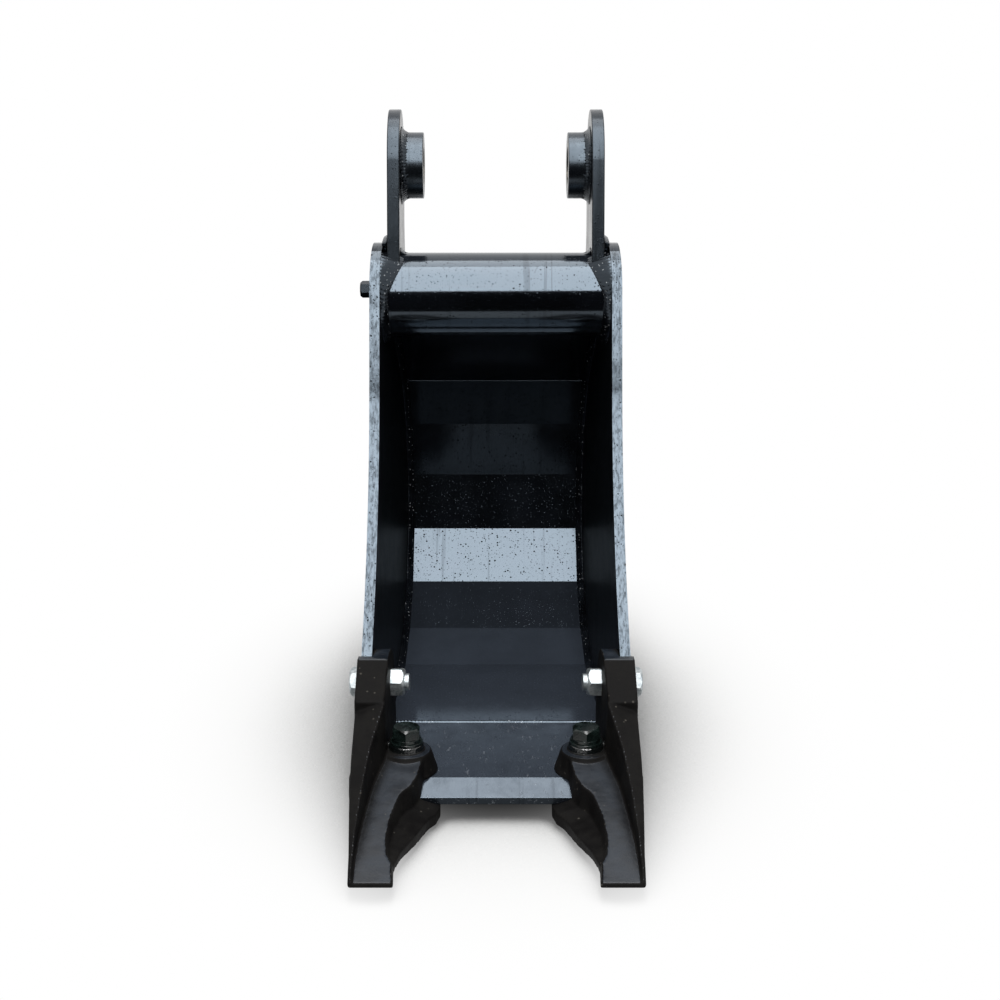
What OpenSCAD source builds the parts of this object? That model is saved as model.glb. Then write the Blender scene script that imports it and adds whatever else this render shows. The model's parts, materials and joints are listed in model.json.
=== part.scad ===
// Narrow digging bucket with two pin ears and a bolted corner tooth on each side
// X is to the right, Y runs back from the mouth, Z is up as the bucket stands on level ground
// The origin is the middle of the front (dipper) pin's bore

/* [Bucket] */
// Width over the side plates, at the straight upper part of the mouth
bucket_w = 300; // [260:5:360]
// Lean of the mouth's straight edge, from upright
mouth_tilt = 15.8; // [12:0.1:19]
// Taper of each side plate towards the back, in degrees
side_taper = 3.15; // [1:0.05:4]
// Thickness of the side plates
plate_t = 12; // [10:0.5:16]
// Radius of the concave sweep in the mouth's edge
sweep_r = 680; // [600:10:760]
// Turn of that sweep, in degrees
sweep_turn = 25.3; // [23:0.1:27]
// Height of the sweep's foot above the floor sheet
chin_h = 135; // [125:1:145]
// Height of the side plates' front corner above the floor sheet
corner_h = 37; // [25:1:50]

/* [Wrapper] */
// Thickness of the bent wrapper sheet
wrapper_t = 8; // [6:0.5:10]
// Inside radius that the wrapper's flats touch
heel_r = 218; // [205:1:230]
// Distance of the heel's centre behind the cutting edge's front
heel_y = 346; // [330:1:360]
// Number of press-brake bends
bends = 7; // [6:1:9]
// Thickness of the top plate
top_t = 12; // [10:0.5:14]
// Width of each wear strip under the heel
strip_w = 60; // [40:1:80]

/* [Cross tube] */
// Outside diameter of the cross tube
tube_d = 101.6; // [95:0.1:108]
// Wall of the cross tube
tube_wall = 10; // [6:0.5:14]
// Distance of the tube's axis behind the cutting edge's front
tube_y = 348.3; // [340:0.1:356]
// Rise of the tube's axis above the top of the heel's circle
tube_rise = 58; // [45:1:75]
// Width across the flats of the plug in the tube's left end
plug_af = 18; // [15:1:22]
// Length of the plug's head, past the side plate
plug_head = 15; // [10:1:18]

/* [Cutting edge] */
// Length of the cutting edge, front to back
lip_l = 189; // [175:1:205]
// Thickness of the cutting edge
lip_t = 20; // [16:1:25]
// Length of the bevel on its top
bevel_l = 28; // [20:1:35]
// Thickness left at its front
nose_t = 8; // [5:0.5:10]

/* [Ears and pins] */
// Thickness of each ear
ear_t = 15; // [14:0.5:20]
// Distance between the outer faces of the ears
ear_span = 260; // [250:1:262]
// Lean of the ears' front edges towards the machine, from the mouth's straight edge
ear_lean = 4.8; // [0:0.1:6]
// Radius of the ear round the dipper pin
dipper_lobe_r = 67.5; // [60:0.5:72]
// Radius of the ear round the link pin
link_lobe_r = 62; // [56:1:68]
// Diameter of both pins' bores
pin_d = 45; // [40:1:48]
// Outside diameter of the hardened bushes
bush_d = 60; // [55:1:64]
// Outside diameter of the bosses
boss_d = 80; // [74:1:86]
// Length of the bosses, from the ear's inner face
boss_l = 27; // [18:1:32]
// Height of the dipper pin above the tube, along the mouth
dipper_up = 160; // [150:0.5:170]
// Distance of the dipper pin behind the tube, square to the mouth
dipper_back = 15; // [13:0.5:17]
// Distance of the link pin from the tube, along the top plate
link_down = 215.5; // [205:0.5:225]
// Height of the link pin above the top plate
link_out = 87; // [80:0.5:95]
// Length of the ear's foot on the top plate
ear_foot_l = 251; // [235:1:262]
// Radius of the saddle between the two pins
saddle_r = 80; // [70:1:90]

/* [Corner teeth] */
// Reach of the teeth ahead of the cutting edge
tooth_reach = 181; // [165:1:195]
// Width of a tooth casting, from its inner toe to its outer face
tooth_w = 96.5; // [92:0.5:102]
// Overhang of the casting's outer face past the bucket's side
tooth_over = 8.5; // [7:0.5:10]
// Height of the upper leg above the floor sheet
pad_h = 25; // [22:0.5:28]
// Thickness of the lower leg under the cutting edge
leg_t = 16; // [14:0.5:18]
// Slope of the beam's top, in degrees
beam_slope = 12.4; // [11:0.1:13.5]
// Thickness of the tooth's tip
tip_t = 5; // [4:0.5:8]
// Thickness of the cheek inside the side plate
cheek_t = 20; // [16:0.5:24]
// Height of the wing above the beam, at the beam's rear
wing_h = 60; // [52:1:66]

/* [Fasteners] */
// Diameter of the tooth bolts
bolt_d = 20; // [16:1:20]
// Distance of the lip bolt behind the cutting edge's front
lip_bolt_y = 50; // [44:1:56]
// Distance of the lip bolt from the casting's outer face
lip_bolt_in = 57; // [53:1:61]
// Distance of the side bolt behind the side plate's front edge
side_bolt_in = 44.7; // [40:0.1:50]
// Height of the side bolt above the floor sheet
side_bolt_h = 82; // [76:1:88]

/* [Hidden] */
$fn = 96;

// Colours of the gloss paint, the castings and the two finishes of bolt
paint = "#15171b";
floor_paint = "#23272e";
cast_iron = "#33373d";
zinc = "#c4c9cc";
black_steel = "#1c2423";
weld_metal = "#1a1c20";

// One overrun for every cut, a length past any part of the bucket, and the fit of loose pieces
over = 1;
room = 4 * bucket_w;
fit = 0.3;
// Steps in each arc of an outline
arc_steps = 24;

// Places in the side view are [back, up], from the front of the cutting edge's top
tube_h = 2 * heel_r + tube_rise;
tube = [tube_y, tube_h];
tube_r = tube_d / 2;
heel = [heel_y, heel_r];

// The side plate's round end stands proud of the tube, and its rim proud of the wrapper
lobe_proud = 12.2;
lobe_r = tube_r + lobe_proud;
rim_r = heel_r + lip_t;

// Turn of the whole wrapper, so that the top plate runs into the tube's rear
top_inset = 17.6;
heel_to_tube = tube - heel;
turn = atan2(heel_to_tube[1], heel_to_tube[0]) + asin((heel_r - top_inset) / norm(heel_to_tube));
bend_a = turn / bends;

// The top plate runs from the last bend to the tube
top_foot = -(heel_r + top_t) * tan(bend_a / 2);
top_end = heel_to_tube * polar(1, turn);
// Where the flush line of the side plates leaves their round rim
rim_a = acos((heel_r + top_t) / rim_r);
rim_along = -rim_r * sin(rim_a);

// Half widths
side_half = bucket_w / 2;
ear_out = ear_span / 2;
ear_in = ear_out - ear_t;
tooth_out = side_half + tooth_over;

// Pins, in the mouth's own frame of [back, up] from the tube's axis
dipper = [dipper_back, dipper_up];
link = to_mouth(on_top(top_end - link_down, top_t + link_out));
neck_back = dipper_back + dipper_lobe_r;
// Height above the tube's axis at which the ear's front edge stops on the tube
hook_up = 8;

// The bucket stands on its wear strips and on the heels of the tooth castings
strip_t = lip_t - wrapper_t;
strip_start = lip_l + strip_w / 4;
strip_end = heel_y + strip_w / 2;
leg_heel_share = 0.221;
leg_heel_y = -leg_heel_share * tooth_reach;
rest_tilt = -atan2(leg_t, strip_end - leg_heel_y);
pin_place = tube + turned(dipper, -mouth_tilt);

// Sizes of a hexagon fastener that follow its diameter
af_share = 1.5;
head_share = 0.625;
nut_share = 0.8;
washer_share = 1.85;
washer_t_share = 0.15;
spring_share = 1.65;
spring_t_share = 0.2;
spring_lean = 20;
spring_slit_turn = 200;
hole_share = 1.1;
chamfer_share = 0.94;
washer_t = washer_t_share * bolt_d;
spring_t = spring_t_share * bolt_d;
head_h = head_share * bolt_d;
nut_h = nut_share * bolt_d;
hole_d = hole_share * bolt_d;
thread_out = bolt_d / 4;
// Turns of the lip bolts' heads and side nuts, and of the side bolts' heads, from a corner across
corner_turn = 30;
head_turn = 50;
flats = af_share * bolt_d;
corners = flats / cos(30);

// Raised seat under the lip bolt's washers
seat_h = 8;
seat_share = 1.95;
seat_d = seat_share * bolt_d;
stack_z = pad_h + seat_h + washer_t + spring_t;
lip_bolt_x = tooth_out - lip_bolt_in;

// The casting's pads round the lip bolt, its rear leg and the lug at the cutting edge's side
pad_r = 36;
pad_draft = 8;
leg_r = 42;
leg_end_t = 10;
leg_back = lip_bolt_y + leg_r;
beam_rear_share = 0.8;
beam_rear = beam_rear_share * lip_bolt_y;
lug_front = 5;
lug_back = 45;
lug_up = 8;
lug_out = 7.5;

// The side plates' sweep, from its centre in the mouth's frame to its foot
sweep_depth = lobe_r + sweep_r * (1 - cos(sweep_turn));
straight_l = (tube_h - chin_h + sweep_depth * sin(mouth_tilt)) / cos(mouth_tilt)
    - sweep_r * sin(sweep_turn);
sweep_c = [-lobe_r - sweep_r, -straight_l];
sweep_foot = from_mouth(sweep_c + polar(sweep_r, -sweep_turn));
// The side bolt keeps its distance from the straight edge between that foot and the front corner
edge_lean = (sweep_foot[0] - bevel_l) / (sweep_foot[1] - corner_h);
side_bolt_y = bevel_l + (side_bolt_h - corner_h) * edge_lean + side_bolt_in;

// The wing's eye round the side bolt, and the top of its sloped front from that bolt
wing_eye_r = 38;
wing_top_ahead = 21;
wing_top_up = 36;
wing_top = [side_bolt_y - wing_top_ahead, side_bolt_h + wing_top_up];

// Fillets of the welds
boss_fillet = 11;
ear_fillet = 10;

// Plan and ridge of the tooth at stations from its root to its tip, as shares
// Each row: place along the reach, then across the width from the outer face the top's inner edge,
// the top's outer edge, the foot's inner edge and the foot's outer edge, then the ridge's height
nose_shares = [
    [-0.188, 0.800, 0.358, 0.990, 0.006, 1.08],
    [0.017, 0.738, 0.270, 1.000, 0.004, 0.90],
    [0.116, 0.668, 0.228, 0.955, 0.002, 0.81],
    [0.175, 0.578, 0.214, 0.880, 0.002, 0.76],
    [0.221, 0.543, 0.200, 0.845, 0.004, 0.72],
    [0.409, 0.464, 0.158, 0.740, 0.012, 0.55],
    [0.608, 0.434, 0.124, 0.600, 0.030, 0.37],
    [0.740, 0.452, 0.108, 0.545, 0.044, 0.25],
    [0.818, 0.512, 0.104, 0.532, 0.052, 0.19],
    [1.000, 0.530, 0.100, 0.545, 0.060, 0.03]
];
// Below the top's inner edge the beam drops to a ledge, and the ledge falls to the foot's inner side:
// their heights as shares of the section, at the root and at the tip
ledge_shares = [0.42, 0.62];
knee_shares = [0.26, 0.52];
// Draft of the beam's inner side, and fall of the ridge towards its outer edge
beam_draft = 3;
ridge_fall_share = 0.35;
// Where the nose starts, behind the cutting edge's front
loft_rear = -nose_shares[0][0] * tooth_reach;

// Plane geometry
function turned(p, a) = [p[0] * cos(a) - p[1] * sin(a), p[0] * sin(a) + p[1] * cos(a)];
function polar(r, a) = [r * cos(a), r * sin(a)];
function arc(c, r, from, to) =
    [for (i = [0:arc_steps]) c + polar(r, from + (to - from) * i / arc_steps)];
function angle_of(p) = atan2(p[1], p[0]);
// Angle on a circle at which a line from point p touches it, on the side that is given
function touch(p, c, r, side) = angle_of(p - c) + side * acos(r / norm(p - c));

// From the mouth's frame to the side view, and back
function from_mouth(p) = tube + turned(p, -mouth_tilt);
function to_mouth(p) = turned(p - tube, mouth_tilt);

// Corner k of the wrapper at a distance out from its inner face, and a point on the top plate's line
function bend(k, out) = heel + polar((heel_r + out) / cos(bend_a / 2), (k + 0.5) * bend_a - 90);
function on_top(along, out) = heel + turned([heel_r + out, along], turn - 90);

// Moves the bucket from its floor sheet's frame to where it stands, about the dipper pin
module stand() {
    rotate([rest_tilt, 0, 0]) translate([0, -pin_place[0], -pin_place[1]]) children();
}

// Draws a side view, from one place across to another
module across(from, to) {
    translate([from, 0, 0]) rotate([90, 0, 90]) linear_extrude(to - from) children();
}

// The right side plate's own frame: X from its outer face, Y back and Z up along the mouth
module on_plate() {
    translate([0, tube[0], tube[1]]) rotate([-mouth_tilt, 0, 0])
        translate([side_half, -lobe_r, 0]) rotate([0, 0, side_taper]) children();
}

// Everything between two distances from the right side plate's outer face
module layer(from, to) {
    on_plate() translate([from, -room, -room]) cube([to - from, 2 * room, 2 * room]);
}

// Keeps what lies between the side plates' faces at a distance from their outer faces
module between(out) {
    intersection() {
        children();
        layer(-room, out);
        mirror([1, 0, 0]) layer(-room, out);
    }
}

// Outline of a side plate: the lip, the rim round the heel, the flush top, the round end, the mouth
module side_outline() {
    polygon(concat(
        [
            [bevel_l, 0],
            [lip_l, 0],
            [lip_l, -lip_t]
        ],
        arc(heel, rim_r, -90, turn - 90 - rim_a),
        [on_top(rim_along, top_t), on_top(top_end, top_t)],
        [for (p = arc([0, 0], lobe_r, 90, 180)) from_mouth(p)],
        [for (p = arc(sweep_c, sweep_r, 0, -sweep_turn)) from_mouth(p)],
        [[bevel_l, corner_h]]
    ));
    translate(tube) circle(lobe_r);
}

module side_plate() {
    color(paint) stand() difference() {
        intersection() {
            across(0, room) side_outline();
            layer(-plate_t, 0);
        }
        side_bolt_hole();
    }
}

module side_plate_right() { side_plate(); }

module side_plate_left() {
    color(paint) difference() {
        mirror([1, 0, 0]) side_plate();
        stand() mirror([1, 0, 0]) plug_place() plug_shank(-plate_t - over, over);
    }
}

// Bent wrapper: flats that touch the heel's circle, from the cutting edge to the last bend
module wrapper() {
    inner = [for (k = [0:bends - 1]) bend(k, 0)];
    outer = [for (k = [bends - 1:-1:0]) bend(k, wrapper_t)];
    color(floor_paint) stand() between(-plate_t) across(-side_half, side_half)
        polygon(concat([[lip_l, 0]], inner, outer, [[lip_l, -wrapper_t]]));
}

module top_outline() {
    polygon([
        bend(bends - 1, 0), bend(bends - 1, top_t), on_top(top_end, top_t), on_top(top_end, 0)
    ]);
}

module top_plate() {
    color(paint) stand() difference() {
        between(-plate_t) across(-side_half, side_half) top_outline();
        tube_solid(tube_d);
    }
}

module tube_solid(d) {
    translate([-side_half, tube[0], tube[1]]) rotate([0, 90, 0]) cylinder(d = d, h = 2 * side_half);
}

module cross_tube() {
    color(paint) stand() between(-plate_t) difference() {
        tube_solid(tube_d);
        translate([-over, 0, 0]) tube_solid(tube_d - 2 * tube_wall);
        translate([over, 0, 0]) tube_solid(tube_d - 2 * tube_wall);
    }
}

// Plug in the tube's left end, drawn on the right and mirrored by its node
plug_flange_t = 3;
plug_d = 12;
plug_up = 6.5;
module plug_place() {
    on_plate() translate([0, lobe_r, plug_up]) rotate([0, 90, 0]) children();
}
module plug_shank(from, to) { translate([0, 0, from]) cylinder(d = plug_d, h = to - from); }
module tube_plug() {
    color(black_steel) stand() mirror([1, 0, 0]) plug_place() {
        plug_shank(-plate_t - tube_wall, plug_flange_t);
        cylinder(d = plug_af + plug_flange_t, h = plug_flange_t);
        hex_head(plug_af, plug_head, plug_flange_t);
    }
}

// Cutting edge with a bevelled top
module lip_outline(grow) {
    polygon([
        [-grow, -lip_t - grow],
        [-grow, nose_t - lip_t + grow],
        [bevel_l - grow, grow],
        [lip_l, grow],
        [lip_l, -lip_t - grow]
    ]);
}

module cutting_edge() {
    color(floor_paint) stand() difference() {
        between(0) across(-room, room) lip_outline(0);
        for (side = [0, 1]) mirror([side, 0, 0]) lip_bolt_hole();
    }
}

// Wear strips on the underside of the heel
module heel_strip() {
    color(black_steel) stand() translate([side_half / 2 - strip_w / 2, strip_start, -lip_t])
        cube([strip_w, strip_end - strip_start, strip_t]);
}
module heel_strip_right() { heel_strip(); }
module heel_strip_left() { mirror([1, 0, 0]) heel_strip(); }

// Ear: a lobe round each pin, a saddle between them, and a foot coped to the tube and top plate
saddle_reach = saddle_r + link_lobe_r;
saddle_x = neck_back + saddle_r;
saddle_c = [saddle_x, link[1] + sqrt(pow(saddle_reach, 2) - pow(saddle_x - link[0], 2))];
saddle_a = angle_of(link - saddle_c);
ear_toe = to_mouth(on_top(top_end - ear_foot_l, top_t));
ear_heel = to_mouth(on_top(top_end, top_t));
ear_chin = dipper + polar(dipper_lobe_r, 180 + ear_lean);
module ear_outline() {
    polygon(concat(
        [[ear_chin[0] + (ear_chin[1] - hook_up) * tan(ear_lean), hook_up]],
        arc(dipper, dipper_lobe_r, 180 + ear_lean, 0),
        arc(saddle_c, saddle_r, 180, 360 + saddle_a),
        arc(link, link_lobe_r, saddle_a + 180, touch(ear_toe, link, link_lobe_r, 1)),
        [ear_toe, ear_heel, [0, hook_up]]
    ));
}

module ear() {
    color(paint) stand() difference() {
        translate([0, tube[0], tube[1]]) rotate([-mouth_tilt, 0, 0]) across(ear_in, ear_out) ear_outline();
        tube_solid(tube_d);
        for (pin = [dipper, link]) at_pin(pin, ear_in - over) cylinder(d = bush_d, h = ear_t + 2 * over);
    }
}
module ear_right() { ear(); }
module ear_left() { mirror([1, 0, 0]) ear(); }

// A pin's axis, from a place across
module at_pin(pin, x) {
    p = from_mouth(pin);
    translate([x, p[0], p[1]]) rotate([0, 90, 0]) children();
}

// Ring round a pin
module pin_ring(pin, from, to, outer_d, inner_d) {
    stand() at_pin(pin, from) difference() {
        cylinder(d = outer_d, h = to - from);
        translate([0, 0, -over]) cylinder(d = inner_d, h = to - from + 2 * over);
    }
}
module boss(pin) { color(paint) pin_ring(pin, ear_in - boss_l, ear_in, boss_d, bush_d); }
module bush(pin) { color(black_steel) pin_ring(pin, ear_in - boss_l, ear_out, bush_d, pin_d); }
module dipper_boss_right() { boss(dipper); }
module dipper_boss_left() { mirror([1, 0, 0]) boss(dipper); }
module link_boss_right() { boss(link); }
module link_boss_left() { mirror([1, 0, 0]) boss(link); }
module dipper_bush_right() { bush(dipper); }
module dipper_bush_left() { mirror([1, 0, 0]) bush(dipper); }
module link_bush_right() { bush(link); }
module link_bush_left() { mirror([1, 0, 0]) bush(link); }

// Concave weld round the root of each boss
module boss_weld() {
    color(weld_metal) stand() for (pin = [dipper, link]) at_pin(pin, ear_in) rotate_extrude()
        polygon(concat(
            [[boss_d / 2, 0], [boss_d / 2 + boss_fillet, 0]],
            arc([boss_d / 2 + boss_fillet, -boss_fillet], boss_fillet, 90, 180)
        ));
}
module boss_weld_right() { boss_weld(); }
module boss_weld_left() { mirror([1, 0, 0]) boss_weld(); }

// Welds at the foot of an ear: a concave bead inside, and a bead outside that fills to the side plate
module ear_bead() {
    polygon(concat(
        [[tube_r, ear_in], [tube_r, ear_in - ear_fillet]],
        arc([tube_r + ear_fillet, ear_in - ear_fillet], ear_fillet, 180, 90)
    ));
    polygon([
        [tube_r, ear_out], [lobe_r + ear_fillet, ear_out],
        [lobe_r, side_half], [tube_r, side_half]
    ]);
}
module ear_weld() {
    color(weld_metal) stand() difference() {
        intersection() {
            translate([0, tube[0], tube[1]]) rotate([0, 90, 0]) rotate_extrude() ear_bead();
            layer(-room, -plate_t);
            translate([0, tube[0], tube[1]]) rotate([-mouth_tilt, 0, 0])
                translate([0, -room / 2, hook_up]) cube(room);
        }
        across(0, side_half) polygon([
            on_top(top_foot, top_t), on_top(room, top_t), on_top(room, -room), on_top(top_foot, -room)
        ]);
    }
}
module ear_weld_right() { ear_weld(); }
module ear_weld_left() { mirror([1, 0, 0]) ear_weld(); }

// Hexagon head or nut blank, turned about its axis, its corners chamfered by a cone
module hex_head(af, h, from, turn_a = 0) {
    blank_d = af / cos(30);
    translate([0, 0, from]) intersection() {
        rotate(turn_a) cylinder(d = blank_d, h = h, $fn = 6);
        union() {
            cylinder(d = blank_d + over, h = h / 2);
            translate([0, 0, h / 2]) cylinder(d1 = blank_d + h / 2, d2 = chamfer_share * af, h = h / 2);
        }
    }
}

// Bolt with its head's seat at zero and its shank below
module hex_bolt(l, turn_a) {
    hex_head(flats, head_h, 0, turn_a);
    translate([0, 0, -l]) cylinder(d = bolt_d, h = l);
}

// Nut whose bearing face is at zero and which stands up from it
module hex_nut(turn_a) {
    difference() {
        hex_head(flats, nut_h, 0, turn_a);
        translate([0, 0, -over]) cylinder(d = bolt_d + fit, h = nut_h + 2 * over);
    }
}

module ring(outer_d, inner_d, h) {
    difference() {
        cylinder(d = outer_d, h = h);
        translate([0, 0, -over]) cylinder(d = inner_d, h = h + 2 * over);
    }
}

// Places of the bolts, drawn on the right
module lip_bolt_place(z) { translate([lip_bolt_x, lip_bolt_y, z]) children(); }
side_bolt = to_mouth([side_bolt_y, side_bolt_h]);
module side_bolt_place(x) {
    on_plate() translate([x, side_bolt[0] + lobe_r, side_bolt[1]]) rotate([0, 90, 0]) children();
}
module lip_bolt_hole() {
    lip_bolt_place(-room / 2) cylinder(d = hole_d, h = room);
}
module side_bolt_hole() {
    side_bolt_place(-plate_t - cheek_t - lug_out) cylinder(d = hole_d, h = plate_t + cheek_t + 2 * lug_out);
}

// Heights of the casting at a place y back from the cutting edge's front
function beam_z(y) = pad_h - (beam_rear - y) * tan(beam_slope);
tip_z = beam_z(-tooth_reach) - tip_t;
leg_z = -lip_t - leg_t;
leg_end_z = -lip_t - leg_end_t;
function foot_z(y) = y > leg_heel_y
    ? leg_z + (leg_end_z - leg_z) * (y - leg_heel_y) / (leg_back - leg_heel_y)
    : leg_z + (tip_z - leg_z) * (y - leg_heel_y) / (-tooth_reach - leg_heel_y);

// One cross-section of the tooth, eight points from the foot's inner edge round to its side
function nose_ring(row) =
    let (
        y = -row[0] * tooth_reach,
        top = beam_z(y),
        foot = foot_z(y),
        ridge = top + row[5] * wing_h,
        along = max(0, row[0]),
        ledge = ledge_shares[0] + (ledge_shares[1] - ledge_shares[0]) * along,
        knee = knee_shares[0] + (knee_shares[1] - knee_shares[0]) * along,
        top_in = tooth_out - row[1] * tooth_w,
        top_out = tooth_out - row[2] * tooth_w,
        foot_in = tooth_out - row[3] * tooth_w,
        foot_out = tooth_out - row[4] * tooth_w,
        draft = min(beam_draft, (top_in - foot_in) / 2),
        fall = min(ridge_fall_share * (foot_out - top_out), row[5] * wing_h)
    )
    [
        [foot_in, y, foot], [foot_out, y, foot], [foot_out, y, ridge - fall], [top_out, y, ridge],
        [top_out, y, top], [top_in, y, top], [top_in - draft, y, foot + ledge * (top - foot)],
        [foot_in, y, foot + knee * (top - foot)]
    ];

// Nose of the tooth: the cross-sections joined into one solid
module nose() {
    rings = len(nose_shares);
    sides = 8;
    cap = [[2, 3, 4], [1, 2, 4], [1, 4, 5], [1, 5, 6], [0, 1, 6], [0, 6, 7]];
    last = (rings - 1) * sides;
    polyhedron(
        points = [for (row = nose_shares) each nose_ring(row)],
        faces = concat(
            cap,
            [for (t = cap) [last + t[2], last + t[1], last + t[0]]],
            [for (r = [0:rings - 2], i = [0:sides - 1])
                let (a = r * sides + i, b = r * sides + (i + 1) % sides)
                each [[b, a, a + sides], [b, a + sides, b + sides]]]
        )
    );
}

// Side view of the wing: its sloped front, and the eye round the side bolt
module wing_outline() {
    translate([side_bolt_y, side_bolt_h]) circle(wing_eye_r);
    polygon([
        [loft_rear - over, 0], [loft_rear - over, beam_z(loft_rear) + nose_shares[0][5] * wing_h], wing_top,
        [side_bolt_y, side_bolt_h + wing_eye_r], [side_bolt_y + wing_eye_r, side_bolt_h],
        [side_bolt_y + wing_eye_r, 0]
    ]);
}
module leg_outline() {
    polygon([
        [loft_rear - over, -lip_t], [leg_back, -lip_t],
        [leg_back, foot_z(leg_back) + fit], [loft_rear - over, foot_z(loft_rear - over) + fit]
    ]);
}
module lug_outline() {
    polygon([
        [lug_front, foot_z(lug_front) + over], [lug_front, -nose_t], [lug_front + lug_up, lug_up],
        [lug_back, lug_up], [lug_back, foot_z(lug_back) + over]
    ]);
}

// What the casting clears: the cutting edge, and the side plate behind the mouth's edge
module tooth_slots() {
    intersection() {
        across(0, room) lip_outline(fit);
        layer(-room, fit);
    }
    intersection() {
        across(0, room) translate([-fit, 0]) side_outline();
        layer(-plate_t - fit, room);
    }
    lip_bolt_hole();
    side_bolt_hole();
    // Captive pocket for the nut, open below
    lip_bolt_place(-lip_t - room / 2) cylinder(d = corners + 2 * fit, h = room / 2, $fn = 6);
}

// Corner tooth: one casting that forks over the cutting edge and wraps the side plate's front edge
module tooth() {
    color(cast_iron) stand() difference() {
        union() {
            nose();
            // Upper leg, round and drafted about the lip bolt, with the raised seat
            lip_bolt_place(0) cylinder(r1 = pad_r, r2 = pad_r - pad_draft, h = pad_h);
            lip_bolt_place(0) cylinder(d = seat_d, h = pad_h + seat_h);
            translate([lip_bolt_x, loft_rear - over, 0])
                cube([tooth_out - cheek_t - lip_bolt_x, leg_back - loft_rear - pad_draft, pad_h]);
            // Lower leg
            intersection() {
                across(0, tooth_out) leg_outline();
                union() {
                    lip_bolt_place(-room / 2) cylinder(r = leg_r, h = room);
                    translate([lip_bolt_x, -room / 2, -room / 2]) cube(room);
                }
            }
            // Wing inside the side plate and across its front edge
            intersection() {
                across(0, tooth_out) wing_outline();
                layer(-plate_t - cheek_t, room);
            }
            // Lug that laps the cutting edge's side
            intersection() {
                across(0, room) lug_outline();
                layer(-plate_t, lug_out);
            }
        }
        tooth_slots();
    }
}
module tooth_right() { tooth(); }
module tooth_left() { mirror([1, 0, 0]) tooth(); }

// Fasteners of the cutting edge
module lip_bolt() {
    color(black_steel) stand() lip_bolt_place(stack_z)
        hex_bolt(stack_z + lip_t + nut_h - over, corner_turn);
}
module lip_washer() {
    color(black_steel) stand() lip_bolt_place(pad_h + seat_h)
        ring(washer_share * bolt_d, hole_d, washer_t);
}
module lip_spring_washer() {
    color(black_steel) stand() lip_bolt_place(pad_h + seat_h + washer_t) difference() {
        ring(spring_share * bolt_d, hole_d, spring_t);
        rotate([0, spring_lean, spring_slit_turn]) translate([0, -washer_t / 2, -room / 2]) cube([room, washer_t, room]);
    }
}
module lip_nut() {
    color(black_steel) stand() lip_bolt_place(-lip_t) mirror([0, 0, 1]) hex_nut(0);
}
module lip_bolt_right() { lip_bolt(); }
module lip_bolt_left() { mirror([1, 0, 0]) lip_bolt(); }
module lip_washer_right() { lip_washer(); }
module lip_washer_left() { mirror([1, 0, 0]) lip_washer(); }
module lip_spring_washer_right() { lip_spring_washer(); }
module lip_spring_washer_left() { mirror([1, 0, 0]) lip_spring_washer(); }
module lip_nut_right() { lip_nut(); }
module lip_nut_left() { mirror([1, 0, 0]) lip_nut(); }

// Fasteners of the side plates
module side_bolt() {
    color(zinc) stand() side_bolt_place(washer_t)
        hex_bolt(washer_t + plate_t + cheek_t + nut_h + thread_out, head_turn);
}
module side_washer() {
    color(zinc) stand() side_bolt_place(0) ring(washer_share * bolt_d, hole_d, washer_t);
}
module side_nut() {
    color(zinc) stand() side_bolt_place(-plate_t - cheek_t) mirror([0, 0, 1]) hex_nut(corner_turn);
}
module side_bolt_right() { side_bolt(); }
module side_bolt_left() { mirror([1, 0, 0]) side_bolt(); }
module side_washer_right() { side_washer(); }
module side_washer_left() { mirror([1, 0, 0]) side_washer(); }
module side_nut_right() { side_nut(); }
module side_nut_left() { mirror([1, 0, 0]) side_nut(); }

side_plate_left();
side_plate_right();
wrapper();
top_plate();
cutting_edge();
cross_tube();
tube_plug();
heel_strip_left();
heel_strip_right();
ear_left();
ear_right();
dipper_boss_left();
dipper_boss_right();
link_boss_left();
link_boss_right();
dipper_bush_left();
dipper_bush_right();
link_bush_left();
link_bush_right();
boss_weld_left();
boss_weld_right();
ear_weld_left();
ear_weld_right();
tooth_left();
tooth_right();
lip_bolt_left();
lip_bolt_right();
lip_spring_washer_left();
lip_spring_washer_right();
lip_washer_left();
lip_washer_right();
lip_nut_left();
lip_nut_right();
side_bolt_left();
side_bolt_right();
side_washer_left();
side_washer_right();
side_nut_left();
side_nut_right();
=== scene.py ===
"""Looks of a narrow digging bucket: paint, castings, welds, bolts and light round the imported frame.

Side-view places are (back, up) in millimetres from the front of the cutting edge's top, with the floor
sheet level, and x is to the right of the bucket's middle. standing() turns them into the frame's metres.
"""

import json
import math
from functools import partial

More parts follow.
